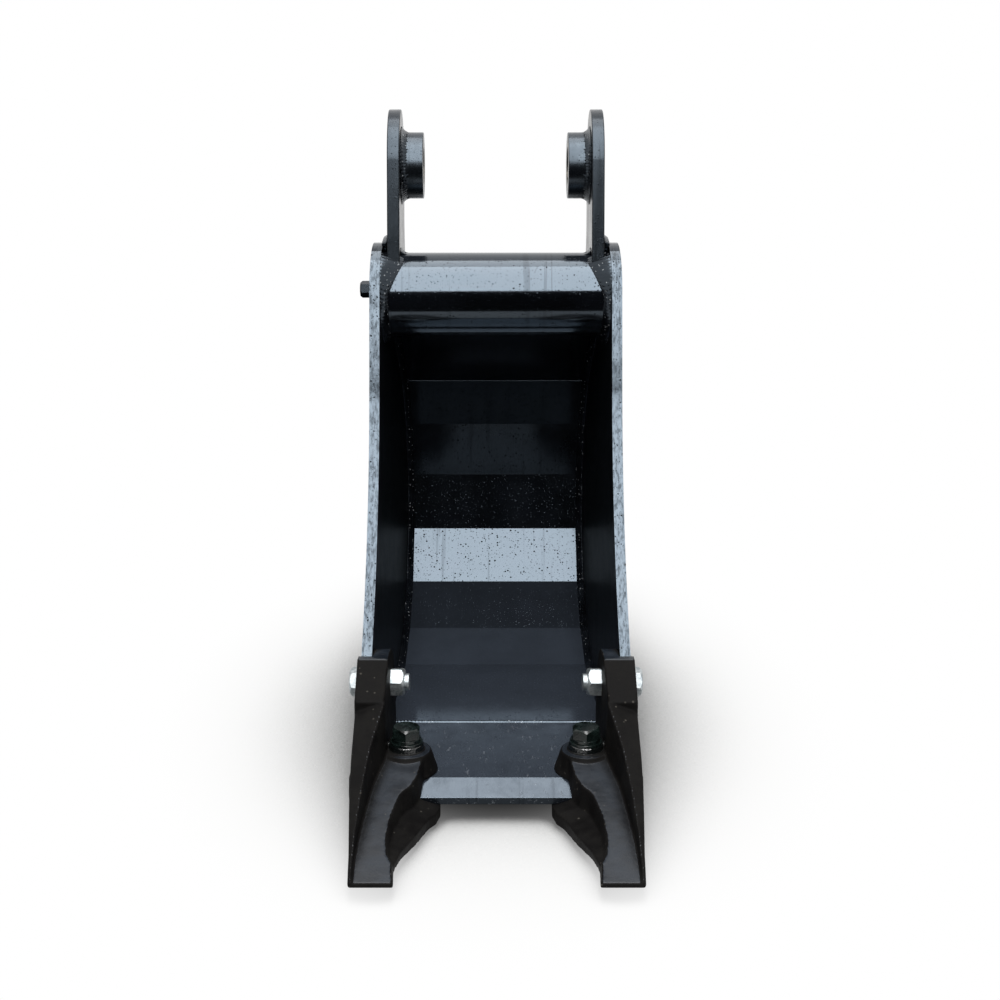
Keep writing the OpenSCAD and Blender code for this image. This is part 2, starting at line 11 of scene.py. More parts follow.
import bmesh
import bpy
import numpy as np
from mathutils import Matrix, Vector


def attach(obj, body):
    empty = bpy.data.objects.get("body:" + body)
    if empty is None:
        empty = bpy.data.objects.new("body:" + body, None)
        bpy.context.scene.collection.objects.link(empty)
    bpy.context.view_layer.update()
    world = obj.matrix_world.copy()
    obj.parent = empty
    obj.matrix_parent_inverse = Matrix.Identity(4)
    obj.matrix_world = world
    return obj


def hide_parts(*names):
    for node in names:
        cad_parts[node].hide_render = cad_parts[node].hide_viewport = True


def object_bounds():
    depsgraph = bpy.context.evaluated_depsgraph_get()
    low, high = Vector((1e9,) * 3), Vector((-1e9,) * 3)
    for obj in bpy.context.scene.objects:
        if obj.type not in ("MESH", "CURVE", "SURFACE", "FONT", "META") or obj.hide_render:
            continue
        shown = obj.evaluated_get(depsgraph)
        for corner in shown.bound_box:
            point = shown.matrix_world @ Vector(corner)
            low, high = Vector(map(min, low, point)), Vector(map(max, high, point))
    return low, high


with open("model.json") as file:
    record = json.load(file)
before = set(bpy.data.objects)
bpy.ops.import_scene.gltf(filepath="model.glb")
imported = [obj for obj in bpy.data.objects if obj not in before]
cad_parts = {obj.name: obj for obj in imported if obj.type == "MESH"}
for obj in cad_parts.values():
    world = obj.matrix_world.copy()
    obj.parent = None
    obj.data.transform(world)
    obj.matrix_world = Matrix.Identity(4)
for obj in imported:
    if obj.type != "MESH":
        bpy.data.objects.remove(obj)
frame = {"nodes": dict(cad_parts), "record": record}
cad_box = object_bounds()
nodes = frame["nodes"]

# Millimetres in a metre
MM = 0.001

# The bucket's own sizes, as the frame has them, with the side-view places of the dipper pin, of the heel's
# circle and of the tube
PIN_PLACE = (406.2981, 643.8707)
REST_TILT = math.radians(-2.20259)
BUCKET_W = 300.0
PLATE_T = 12.0
MOUTH_TILT = math.radians(15.8)
SIDE_TAPER = math.radians(3.15)
LIP_L = 189.0
WRAPPER_T = 8.0
HEEL = np.array([346.0, 218.0])
HEEL_R = 218.0
BENDS = 7
TUBE = np.array([348.3, 494.0])
TUBE_R = 50.8
LOBE_R = 63.0
TOP_INSET = 17.6
PAD_BACK = 92.0

# The teeth: the lip bolt's (x, back), the radius and height of the seat under it, the soft edge of its oil,
# and how far below that height the oil starts and is whole
LIP_BOLT = (101.5, 50.0)
SEAT_R = 19.5
STACK_Z = 40.0
SEAT_EDGE = 2.0
SEAT_FROM = 15.0
SEAT_TO = 12.0

# The line of the beams' tops: a place (along, up) on it in mm of the frame, its slope, and how far below
# it the castings' pale film starts and is whole
BEAM_TIP = (-610.0, -643.2)
BEAM_SLOPE = 0.1756
FILM_FROM = 8.0
FILM_TO = 4.0

# Beads: the step along them, the length over which an end or a bend is eased, the least share of that
# length that counts at an end, the points from toe to toe of a fillet and of the seam at the cutting edge,
# the power that rounds a fillet, and the angle past which the toes stay sharp
BEAD_STEP = 1.1
BEAD_EASE = 6.0
BEAD_END = 0.05
FILLET_POINTS = 11
LIP_SEAM_POINTS = 9
FILLET_POWER = 1.5
TOE_ANGLE = math.radians(60)

# Ripples of a bead: their pitch, how far their middles lag, the shares that they take of a fillet's size
# and of the height and width of the seam at the cutting edge, and on a weld that is a solid their height
# and the ripple at which its surface stays where it is
RIPPLE_PITCH = 4.2
RIPPLE_LAG = 2.4
RIPPLE_SHARE = 0.05
RIPPLE_SHARE_HIGH = 0.3
RIPPLE_SHARE_WIDE = 0.06
RIPPLE_HIGH = 0.75
RIPPLE_REST = 0.6

# Welds: the legs of the inner and outer seams, the width and height of the seam at the cutting edge, the
# radii of the welds at the bosses and the ears' feet, and the width over which their ripples bow
SEAM_LEG = 8.0
RIM_LEG = 7.0
LIP_SEAM_WIDE = 5.0
LIP_SEAM_HIGH = 2.0
BOSS_WELD_R = 45.0
EAR_WELD_R = 56.0
RIPPLE_BOW = 12.0

# Weld round the tube's ends, in degrees about its axis from the back: where it starts and ends, its step,
# where it starts to narrow and over how much it does. Then its width before that and its leg
WELD_FROM = 112.0
WELD_TO = 318.0
WELD_STEP = 1.0
WELD_FOOT = 126.0
WELD_NARROWS = 46.0
WELD_WIDE = 26.0
WELD_LEG = 9.0

# Meshes: the cells of the grids on which castings and welds are redrawn, the distance under which vertices
# are one, and the degrees under which neighbouring faces are one flat
CASTING_CELL = 1.5
WELD_CELL = 1.1
SAME_PLACE = 0.01
SAME_FLAT = 0.1

# Camera: its place in metres, its dip below level, its shift across and its focal length in pixels
CAMERA_PLACE = (-0.0070, -2.28523, 0.31099)
CAMERA_DIP = math.radians(18.0026)
CAMERA_SHIFT = 0.0101
FOCAL_PX = 1849
PHOTO_PX = 1000
SENSOR_MM = 36.0
CLIP_END = 200

# Stage in metres: half of the floor, half the cloth's width, the height of its wall, the distances ahead
# of the pin between which it lies, and its lift off the floor
FLOOR_HALF = 30.0
CLOTH_HALF = 9.0
CLOTH_HIGH = 3.9
CLOTH_FROM = 0.83
CLOTH_TO = 9.0
CLOTH_LIFT = 0.002

# The floor turns white between two ellipses round the bucket: the scale that makes circles of them, the
# shift that centres the circles, and their radii. Then the reach in metres of the ambient occlusion that
# paints the floor's shadow
PATCH_SCALE = (2.4, 1.7, 0.0)
PATCH_SHIFT = (0.0, 0.25, 0.0)
PATCH_FROM = 0.35
PATCH_TO = 1.05
PAINTED_SHADOW_REACH = 0.27

# Softboxes: the point that they face, their distance from it and width in metres, and for each its lower
# and upper elevation in degrees above the front's horizon and its radiance. Then the sky's light on things
LIT_MIDDLE = np.array([0.0, -0.2, -0.35])
LAMP_AWAY = 10.0
LAMP_WIDE = 3.0
SOFTBOXES = {
    "front_softbox": (22.5, 65, 8.8),
    "top_softbox": (65, 95, 8.8),
    "back_softbox": (96, 118, 4.5),
}
SKY_FILL = 0.12

# Turn of the top plate's line, and the bend that each of the wrapper's folds makes
reach = TUBE - HEEL
turn = math.atan2(reach[1], reach[0]) + math.asin((HEEL_R - TOP_INSET) / np.hypot(*reach))
bend_turn = turn / BENDS


# Places and shapes


def standing(points):
    """Row-frame metres of points (x, back, up) in mm: moved to the dipper pin, then turned by the rest
    tilt."""
    points = np.asarray(points, dtype=float)
    back = points[..., 1] - PIN_PLACE[0]
    up = points[..., 2] - PIN_PLACE[1]
    cos, sin = math.cos(REST_TILT), math.sin(REST_TILT)
    return np.stack([points[..., 0], back * cos - up * sin, back * sin + up * cos], axis=-1) * MM


def side_view(points):
    """Side-view (back, up) in mm of row-frame points in metres: standing() undone."""
    back, up = points[..., 1] / MM, points[..., 2] / MM
    cos, sin = math.cos(REST_TILT), math.sin(REST_TILT)
    return np.stack([back * cos + up * sin + PIN_PLACE[0], up * cos - back * sin + PIN_PLACE[1]], axis=-1)


def plate_face(back, up):
    """x of the right side plate's inner face at a side-view place: the plate leans in by the taper with
    distance square to the mouth's edge."""
    depth = (back - TUBE[0]) * math.cos(MOUTH_TILT) - (up - TUBE[1]) * math.sin(MOUTH_TILT) + LOBE_R
    return BUCKET_W / 2 - depth * math.tan(SIDE_TAPER) - PLATE_T / math.cos(SIDE_TAPER)


def fold(index, out):
    """Corner of the wrapper at a distance out from its inner face."""
    reach_out = (HEEL_R + out) / math.cos(bend_turn / 2)
    angle = (index + 0.5) * bend_turn - math.pi / 2
    return HEEL + reach_out * np.array([math.cos(angle), math.sin(angle)])


def on_top(along):
    """Point of the top plate's inner face, along it from the heel's circle."""
    away = np.array([math.sin(turn), -math.cos(turn)])
    return HEEL + HEEL_R * away + along * np.array([math.cos(turn), math.sin(turn)])


def mesh_object(name, points, faces):
    """A mesh object at the origin from an array of points and a list of faces."""
    mesh = bpy.data.meshes.new(name)
    mesh.from_pydata(np.asarray(points).reshape(-1, 3).tolist(), [], faces)
    mesh.update()
    piece = bpy.data.objects.new(name, mesh)
    bpy.context.scene.collection.objects.link(piece)
    return piece


def merged_copy(name, source, flat_angle):
    """A CAD node's mesh with its doubles merged and its flat faces joined, as a piece of its own."""
    mesh = nodes[source].data.copy()
    shape = bmesh.new()
    shape.from_mesh(mesh)
    bmesh.ops.remove_doubles(shape, verts=shape.verts, dist=SAME_PLACE * MM)
    if flat_angle:
        bmesh.ops.dissolve_limit(
            shape, angle_limit=math.radians(flat_angle), verts=shape.verts, edges=shape.edges
        )
    shape.to_mesh(mesh)
    shape.free()
    mesh.materials.clear()
    piece = bpy.data.objects.new(name, mesh)
    bpy.context.scene.collection.objects.link(piece)
    return piece


def eased_copy(name, source, cell, steps):
    """A CAD node's solid redrawn on a grid of cells in mm and eased in steps, with its mesh worked in."""
    piece = merged_copy(name, source, 0)
    grid = piece.modifiers.new("grid", "REMESH")
    grid.mode = "VOXEL"
    grid.voxel_size = cell * MM
    ease = piece.modifiers.new("ease", "SMOOTH")
    ease.factor = 0.5
    ease.iterations = steps
    shown = piece.evaluated_get(bpy.context.evaluated_depsgraph_get())
    mesh = bpy.data.meshes.new_from_object(shown)
    piece.modifiers.clear()
    piece.data = mesh
    piece.data.shade_smooth()
    return piece


def dressed(piece, finish, slot, *replaced):
    """Gives a piece its material, lets it ride on the bucket, and hides the nodes that it stands
    for. The slot is not used."""
    piece.data.materials.clear()
    piece.data.materials.append(finish)
    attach(piece, "root")
    if replaced:
        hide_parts(*replaced)
    return piece


def rounded(source, finish, slot, edge=1.0, segments=3, least=28):
    """A copy of a CAD node with its sharp edges rounded by a small radius in mm, as sawn or sheared steel
    has, wherever its faces turn by at least so many degrees. Its flats stay flat, as the larger faces
    lead the shading."""
    piece = merged_copy(source + "_dressed", source, SAME_FLAT)
    piece.data.shade_smooth()
    bevel = piece.modifiers.new("edges", "BEVEL")
    bevel.width = edge * MM
    bevel.segments = segments
    bevel.limit_method = "ANGLE"
    bevel.angle_limit = math.radians(least)
    even = piece.modifiers.new("even", "WEIGHTED_NORMAL")
    even.weight = 100
    return dressed(piece, finish, slot, source)


# Materials

# Settings of a smooth step between two ranges, and of a mix of two colours, which are its inputs 6 and 7.
# A Mapping node draws a pattern out along each axis whose scale is under 1
SMOOTH = {"interpolation_type": "SMOOTHSTEP"}
COLOURS = {"data_type": "RGBA", "out": 2}

# Enamel: the blue tint of what it reflects, which is painted sky light, and its clean and dusty black,
# where thick and where thin, with the share of dust on what looks up
PAINTED_SKY_TINT = (0.70, 0.85, 1.0, 1.0)
CLEAN = {"dark": "#050608", "light": "#0b0d11", "dust": 0.12}
DUSTY = {"dark": "#0a0c0f", "light": "#14171c", "dust": 0.5}

# Reach in metres over which a corner of a casting counts as hidden, for the shade painted into its corners
CREVICE_SHADE_REACH = 0.025


def linear(colour):
    """Linear RGBA of an sRGB hex colour."""
    parts = np.array([int(colour[i : i + 2], 16) for i in (1, 3, 5)]) / 255
    parts = np.where(parts <= 0.04045, parts / 12.92, ((parts + 0.055) / 1.055) ** 2.4)
    return (*parts.tolist(), 1.0)


def add(tree, kind, inputs=(), out=0, **settings):
    """Adds a node with its settings, sets or links its inputs, which are given in order or by name, and
    returns one of its outputs."""
    node = tree.nodes.new("ShaderNode" + kind)
    for key, value in settings.items():
        setattr(node, key, value)
    for key, value in inputs.items() if isinstance(inputs, dict) else enumerate(inputs):
        if isinstance(value, bpy.types.NodeSocket):
            tree.links.new(value, node.inputs[key])
        else:
            node.inputs[key].default_value = value
    return node.outputs[out] if len(node.outputs) else None


def emptied(owner):
    """add() for the emptied node tree of a material or a world."""
    owner.use_nodes = True
    owner.node_tree.nodes.clear()
    return partial(add, owner.node_tree)


def new_material(name):
    """A material without nodes, the function that adds them, and its object coordinates in metres as the
    Vector of a texture."""
    material = bpy.data.materials.new(name)
    node = emptied(material)
    return material, node, {"Vector": node("TexCoord", out="Object")}


def lumps(size):
    """Scale of a texture whose lumps or cells are about size mm across."""
    return 1 / (size * MM)


def dots(node, at, spacing, radius):
    """Round dots, 1 at their middles, one in each cell of about spacing mm and each with its own radius
    of up to radius mm, small ones more often than large."""
    cell = node("TexVoronoi", at | {"Scale": lumps(spacing)}, out="Distance")
    own = node("SeparateColor", [cell.node.outputs["Color"]], out="Red")
    share = node("Math", [own, 1.6], operation="POWER")
    edge = node("Math", [share, radius / spacing], operation="MULTIPLY")
    return node("MapRange", [cell, edge, 0.0])


def facing_up(node, low, high, least=0.0, most=1.0):
    """The most, by default 1, on faces that look up, falling to the least where the upward share of their
    normal drops from high to low."""
    up = node("SeparateXYZ", [node("NewGeometry", out="Normal")], out="Z")
    return node("MapRange", [up, low, high, least, most], **SMOOTH)


def facing_inward(node, at):
    """1 on faces that look at the bucket's middle plane from the side, 0 on all others, by the x of the
    normal times the x of the place in metres, which is -0.14 to -0.12 inside the side plates."""
    normal_x = node("SeparateXYZ", [node("NewGeometry", out="Normal")], out="X")
    place_x = node("SeparateXYZ", at, out="X")
    across = node("Math", [normal_x, place_x], operation="MULTIPLY")
    return node("MapRange", [across, -0.09, -0.05, 1.0, 0.0], **SMOOTH)


def facing_along(node):
    """1 on faces that look along the bucket, up or down, such as a side plate's cut edges, and 0 on those
    that look sideways."""
    normal_x = node("SeparateXYZ", [node("NewGeometry", out="Normal")], out="X")
    sideways = node("Math", [normal_x], operation="ABSOLUTE")
    return node("MapRange", [sideways, 0.3, 0.6, 1.0, 0.0], **SMOOTH)


def enamel(
    name, dark, light, dust, gloss, haze, nibs, under=1.0, level=1.0, scratched=False, of_plate=False
):
    """Black alkyd machine enamel, sprayed over plate, whose shine is tinted a little blue as painted sky
    light: fine orange peel of about 3 mm, slow waves of the sheet, nibs of dust that sparkle in the dark
    and show as dark points in a bright reflection, faint runs down the sheet, and a film of dust on faces
    that look up. Its roughness lies between gloss and haze. Its shine has a level, and faces that look down
    keep a share of it, which paints shade into their reflections. A scratched one has long fine rub marks.
    One of a plate lost its shine on the inner face, which soil rubs, and is streaked along the flame-cut
    edge, which was ground."""
    material, node, at = new_material(name)
    patches = node("TexNoise", at | {"Scale": lumps(70), "Detail": 4, "Roughness": 0.6})
    thin = node("MapRange", [patches, 0.35, 0.7], **SMOOTH)
    colour = node("Mix", {0: thin, 6: linear(dark), 7: linear(light)}, **COLOURS)

    grit = node("Math", [dots(node, at, 3.6, 1.3), dots(node, at, 2.1, 0.6)], operation="MAXIMUM")
    nib = node("Math", [grit, nibs], operation="MULTIPLY")
    uneven = node("MapRange", [patches, 0.2, 0.8, 0.85, 1.0], **SMOOTH)
    lying = node("Math", [facing_up(node, 0.65, 0.97), uneven], operation="MULTIPLY")
    settled = node("Math", [lying, dust], operation="MULTIPLY")
    colour = node("Mix", {0: settled, 6: colour, 7: linear("#4f5763")}, **COLOURS)

    clouds = node("TexNoise", at | {"Scale": lumps(30), "Detail": 5, "Roughness": 0.65})
    rough = node("MapRange", [clouds, 0.3, 0.75, gloss, haze], **SMOOTH)
    wave = node("TexNoise", at | {"Scale": lumps(60), "Detail": 1})
    film = node("Bump", {"Height": wave, "Distance": 0.03 * MM})
    peel = node("TexNoise", at | {"Scale": lumps(3.4), "Detail": 2})
    film = node("Bump", {"Height": peel, "Distance": 0.016 * MM, "Normal": film})
    film = node("Bump", {"Height": nib, "Distance": 0.2 * MM, "Normal": film})

    along = {"Vector": node("Mapping", at | {"Scale": (1.0, 0.03, 0.03)})}
    runs = node("TexNoise", along | {"Scale": lumps(6), "Detail": 2})
    clean = node("MapRange", [nib, 0.0, 0.4, 0.5, 0.04], **SMOOTH)
    streak = node("MapRange", [runs, 0.6, 0.7, 0.0, 0.12], **SMOOTH)
    shine = node("Math", [clean, streak], operation="SUBTRACT")
    shine = node("Math", [shine, 0.04], operation="MAXIMUM")
    # Painted shade in reflections: faces that look down keep only a share of the shine
    out_of_painted_shade = facing_up(node, -0.25, 0.36, under * level, level)
    shine = node("Math", [shine, out_of_painted_shade], operation="MULTIPLY")

    if of_plate:
        fine = {"Vector": node("Mapping", at | {"Scale": (1.0, 0.3, 0.3)})}
        ground = node("TexNoise", fine | {"Scale": lumps(3), "Detail": 4, "Roughness": 0.7})
        mottle = node("MapRange", [ground, 0.36, 0.58, 0.45, 1.1], **SMOOTH)
        kept = node("MapRange", [facing_along(node), 0.0, 1.0, 1.0, mottle], **SMOOTH)
        shine = node("Math", [shine, kept], operation="MULTIPLY")
        dull = facing_inward(node, at)
        kept = node("MapRange", [dull, 0.0, 1.0, 1.0, 0.3], **SMOOTH)
        shine = node("Math", [shine, kept], operation="MULTIPLY")
        rubbed = node("MapRange", [dull, 0.0, 1.0, 0.0, 0.3], **SMOOTH)
        rough = node("Math", [rough, rubbed], operation="ADD")

    if scratched:
        fine = {"Vector": node("Mapping", at | {"Scale": (0.5, 0.12, 1.0)})}
        marks = node("TexNoise", fine | {"Scale": lumps(2.4), "Detail": 3, "Roughness": 0.7})
        marks = node("MapRange", [marks, 0.6, 0.74], **SMOOTH)
        bare_and_unshaded = node("Math", [marks, 0.5], operation="MULTIPLY")
        colour = node("Mix", {0: bare_and_unshaded, 6: colour, 7: linear("#8a8f96")}, **COLOURS)
        film = node("Bump", {"Height": marks, "Distance": 0.08 * MM, "Normal": film})

    surface = {"Base Color": colour, "Roughness": rough, "Normal": film, "IOR": 1.62}
    # Painted sky light: the shine is tinted blue
    surface |= {"Specular Tint": PAINTED_SKY_TINT, "Specular IOR Level": shine}
    node("OutputMaterial", [node("BsdfPrincipled", surface)])
    return material


def near_seat(node, at):
    """1 on the raised seats under the lip bolts, by the distance from the bolts' axes and the height."""
    seat_x, seat_y, seat_z = standing([*LIP_BOLT, STACK_Z]).tolist()
    place = node("SeparateXYZ", at).node.outputs
    sideways = node("Math", [place["X"]], operation="ABSOLUTE")
    across = node("Math", [sideways, seat_x], operation="SUBTRACT")
    back = node("Math", [place["Y"], seat_y], operation="SUBTRACT")
    squares = [node("Math", [value, value], operation="MULTIPLY") for value in (across, back)]
    away = node("Math", [node("Math", squares, operation="ADD")], operation="SQRT")
    within = node("MapRange", [away, SEAT_R * MM, (SEAT_R + SEAT_EDGE) * MM, 1.0, 0.0], **SMOOTH)
    high = node("MapRange", [place["Z"], seat_z - SEAT_FROM * MM, seat_z - SEAT_TO * MM], **SMOOTH)
    return node("Math", [within, high], operation="MULTIPLY")


def on_beam(node, at):
    """1 on the beams' tops and above, 0 on the flares of the lower legs, by the height above the line of
    the tops."""
    place = node("SeparateXYZ", at).node.outputs
    rise = node("Math", [place["Y"], BEAM_SLOPE], operation="MULTIPLY")
    over = node("Math", [place["Z"], rise], operation="SUBTRACT")
    level = (BEAM_TIP[1] - BEAM_SLOPE * BEAM_TIP[0]) * MM
    return node("MapRange", [over, level - FILM_FROM * MM, level - FILM_TO * MM], **SMOOTH)


def cast_steel():
    """Sand-cast low-alloy steel, dipped in thin black primer that browns on its sides and keeps a slate
    film with a soft shine on top of the beam and above it, partly the primer's own film and partly painted
    sky light on faces that look up, and giving way to the brown in corners as painted shade: grain of the
    mould about 2 mm across, over slow lumps of 14 mm, pale points where it is rubbed, and an oily sheen on
    the seats under the bolts."""
    material, node, at = new_material("sand_cast_steel")
    patches = node("TexNoise", at | {"Scale": lumps(34), "Detail": 5, "Roughness": 0.6})
    browned = node("MapRange", [patches, 0.35, 0.7], **SMOOTH)
    side = node("Mix", {0: browned, 6: linear("#0e0d0d"), 7: linear("#1a1918")}, **COLOURS)
    clouded = node("MapRange", [patches, 0.3, 0.7], **SMOOTH)
    slate = node("Mix", {0: clouded, 6: linear("#12171e"), 7: linear("#1f262f")}, **COLOURS)
    # Painted shade: ambient occlusion keeps the pale slate film and its shine out of corners and crevices,
    # which stay dark brown
    painted_shade_ao = node("AmbientOcclusion", {"Distance": CREVICE_SHADE_REACH}, out="AO", samples=8)
    bare_and_unshaded = node("MapRange", [painted_shade_ao, 0.6, 0.84], **SMOOTH)
    # The lighter bluish slate and stronger shine on faces that look up are partly the primer's own film and
    # partly painted sky light
    top = node("Math", [facing_up(node, 0.91, 0.955), bare_and_unshaded], operation="MULTIPLY")
    top = node("Math", [top, on_beam(node, at)], operation="MULTIPLY")
    colour = node("Mix", {0: top, 6: side, 7: slate}, **COLOURS)
    rubbed = node("Math", [dots(node, at, 9.0, 1.8), 0.6], operation="MULTIPLY")
    colour = node("Mix", {0: rubbed, 6: colour, 7: linear("#77736b")}, **COLOURS)

    smoother = node("MapRange", [top, 0.0, 1.0, 0.56, 0.34], **SMOOTH)
    uneven = node("MapRange", [patches, 0.3, 0.7, -0.06, 0.1], **SMOOTH)
    rough = node("Math", [smoother, uneven], operation="ADD")
    swell = node("TexNoise", at | {"Scale": lumps(14), "Detail": 3})
    skin = node("Bump", {"Height": swell, "Distance": 0.4 * MM})
    sand = node("TexNoise", at | {"Scale": lumps(2), "Detail": 4, "Roughness": 0.6})
    skin = node("Bump", {"Height": sand, "Distance": 0.06 * MM, "Normal": skin})

    oiled = near_seat(node, at)
    colour = node("Mix", {0: oiled, 6: colour, 7: linear("#0b0f0f")}, **COLOURS)
    rough = node("MapRange", [oiled, 0.0, 1.0, rough, 0.12], **SMOOTH)
    oil = node("TexNoise", at | {"Scale": lumps(4), "Detail": 3, "Roughness": 0.55})
    oil = node("Math", [oil, oiled], operation="MULTIPLY")
    skin = node("Bump", {"Height": oil, "Distance": 0.8 * MM, "Normal": skin})
    shine = node("MapRange", [top, 0.0, 1.0, 0.06, 0.5], **SMOOTH)
    shine = node("Math", [shine, oiled], operation="MAXIMUM")
    surface = {"Base Color": colour, "Roughness": rough, "Normal": skin, "IOR": 1.5}
    surface |= {"Specular IOR Level": shine}
    node("OutputMaterial", [node("BsdfPrincipled", surface)])
    return material


def zinc_steel():
    """Bright zinc plate, blue passivated: pale silver with faint clouding and wrench marks."""
    material, node, at = new_material("bright_zinc_plate")
    clouds = node("TexNoise", at | {"Scale": lumps(6), "Detail": 5, "Roughness": 0.7})
    pale = node("MapRange", [clouds, 0.35, 0.65], **SMOOTH)
    colour = node("Mix", {0: pale, 6: linear("#8c9498"), 7: linear("#c4c9ca")}, **COLOURS)
    rough = node("MapRange", [clouds, 0.3, 0.7, 0.36, 0.52], **SMOOTH)
    marks = node("TexNoise", at | {"Scale": lumps(2), "Detail": 2})
    plate = node("Bump", {"Height": marks, "Distance": 0.003 * MM})
    surface = {"Base Color": colour, "Roughness": rough, "Normal": plate, "Metallic": 0.9}
    node("OutputMaterial", [node("BsdfPrincipled", surface)])
    return material


def black_steel():
    """Black oxide high-tensile steel, oiled: greenish black with a wet sheen and a wrinkled film of
    paint."""
    material, node, at = new_material("oiled_black_oxide")
    clouds = node("TexNoise", at | {"Scale": lumps(8), "Detail": 4, "Roughness": 0.6})
    green = node("MapRange", [clouds, 0.35, 0.65], **SMOOTH)
    colour = node("Mix", {0: green, 6: linear("#0a0f0e"), 7: linear("#17211f")}, **COLOURS)
    rough = node("MapRange", [clouds, 0.3, 0.7, 0.12, 0.3], **SMOOTH)
    wrinkles = node("TexNoise", at | {"Scale": lumps(2.6), "Detail": 3, "Roughness": 0.55})
    film = node("Bump", {"Height": wrinkles, "Distance": 0.1 * MM})
    surface = {"Base Color": colour, "Roughness": rough, "Normal": film, "IOR": 1.5}
    node("OutputMaterial", [node("BsdfPrincipled", surface)])
    return material


def hardened_steel():
    """Hardened bush steel with its bore ground and greased, grey-brown and softly shining."""
    material, node, at = new_material("greased_bush_steel")
    clouds = node("TexNoise", at | {"Scale": lumps(10), "Detail": 4, "Roughness": 0.6})
    brown = node("MapRange", [clouds, 0.35, 0.65], **SMOOTH)
    colour = node("Mix", {0: brown, 6: linear("#3d3b38"), 7: linear("#6b675f")}, **COLOURS)
    rough = node("MapRange", [clouds, 0.3, 0.7, 0.25, 0.42], **SMOOTH)
    across = {"Vector": node("Mapping", at | {"Scale": (4.0, 1.0, 1.0)})}
    rings = node("TexNoise", across | {"Scale": lumps(1.5), "Detail": 2})
    ground = node("Bump", {"Height": rings, "Distance": 0.01 * MM})
    surface = {"Base Color": colour, "Roughness": rough, "Normal": ground, "Metallic": 1.0}
    node("OutputMaterial", [node("BsdfPrincipled", surface)])
    return material


def weld_bead():
    """Weld metal under black enamel: the ripples are in the mesh, and the material adds places where the
    paint is thin, pale specks and fine grain."""
    material, node, at = new_material("painted_weld")
    patches = node("TexNoise", at | {"Scale": lumps(30), "Detail": 4, "Roughness": 0.6})
    thin = node("MapRange", [patches, 0.35, 0.7], **SMOOTH)
    colour = node("Mix", {0: thin, 6: linear("#0a0b0e"), 7: linear("#181b20")}, **COLOURS)
    pale_specks = node("Math", [dots(node, at, 4.0, 1.5), 0.9], operation="MULTIPLY")
    colour = node("Mix", {0: pale_specks, 6: colour, 7: linear("#c9cdd0")}, **COLOURS)
    rough = node("MapRange", [patches, 0.3, 0.7, 0.12, 0.28], **SMOOTH)
    sand = node("TexNoise", at | {"Scale": lumps(2), "Detail": 3})
    grain = node("Bump", {"Height": sand, "Distance": 0.03 * MM})
    surface = {"Base Color": colour, "Roughness": rough, "Normal": grain, "IOR": 1.6}
    # Painted sky light: the shine is tinted blue
    surface |= {"Specular Tint": PAINTED_SKY_TINT}
    node("OutputMaterial", [node("BsdfPrincipled", surface)])
    return material


def wear_steel():
    """Wear bar with mill scale under thin black paint, dull and streaked along the bucket."""
    material, node, at = new_material("painted_wear_bar")
    along = {"Vector": node("Mapping", at | {"Scale": (1.0, 0.15, 1.0)})}
    streaks = node("TexNoise", along | {"Scale": lumps(8), "Detail": 4, "Roughness": 0.6})
    worn = node("MapRange", [streaks, 0.35, 0.7], **SMOOTH)
    colour = node("Mix", {0: worn, 6: linear("#101216"), 7: linear("#22252a")}, **COLOURS)
    rough = node("MapRange", [streaks, 0.3, 0.7, 0.3, 0.55], **SMOOTH)
    scale = node("Bump", {"Height": streaks, "Distance": 0.03 * MM})
    surface = {"Base Color": colour, "Roughness": rough, "Normal": scale, "IOR": 1.5}
    node("OutputMaterial", [node("BsdfPrincipled", surface)])
    return material


def seen_directly(node):
    """1 for rays of the lens, of reflections and through clear things, 0 for those that light things."""
    path = node("LightPath").node.outputs
    mirrored = node("Math", [path["Is Glossy Ray"], path["Is Transmission Ray"]], operation="MAXIMUM")
    return node("Math", [path["Is Camera Ray"], mirrored], operation="MAXIMUM")


def studio_floor():
    """Pale studio floor with the bucket's soft shadow painted into its colour by ambient occlusion, deepest
    where the bucket is nearest, and turns white away from it for the lens and for what shines or lets light
    through."""
    material, node, at = new_material("studio_floor")
    near = node("Mapping", at | {"Location": PATCH_SHIFT, "Scale": PATCH_SCALE})
    away = node("VectorMath", [near], out="Value", operation="LENGTH")
    far = node("MapRange", [away, PATCH_FROM, PATCH_TO], **SMOOTH)
    share = node("Math", [seen_directly(node), far], operation="MULTIPLY")
    # Painted shadow: ambient occlusion darkens the floor's colour near the bucket
    painted_shade_ao = node("AmbientOcclusion", {"Distance": PAINTED_SHADOW_REACH}, out="AO", samples=8)
    out_of_painted_shade = node("MapRange", [painted_shade_ao, 0.32, 0.93], **SMOOTH)
    colour = node("Mix", {0: out_of_painted_shade, 6: linear("#161616"), 7: linear("#f1f1f0")}, **COLOURS)
    white = node("Emission", [linear("#ffffff"), 1.0])
    node("OutputMaterial", [node("MixShader", [share, node("BsdfDiffuse", [colour]), white])])
    return material


def black_cloth():
    """Black stage cloth, outside the picture, that keeps the front of the shiny bucket dark."""
    material, node, _ = new_material("black_stage_cloth")
    node("OutputMaterial", [node("BsdfDiffuse", [linear("#1c1c1c")])])
    return material


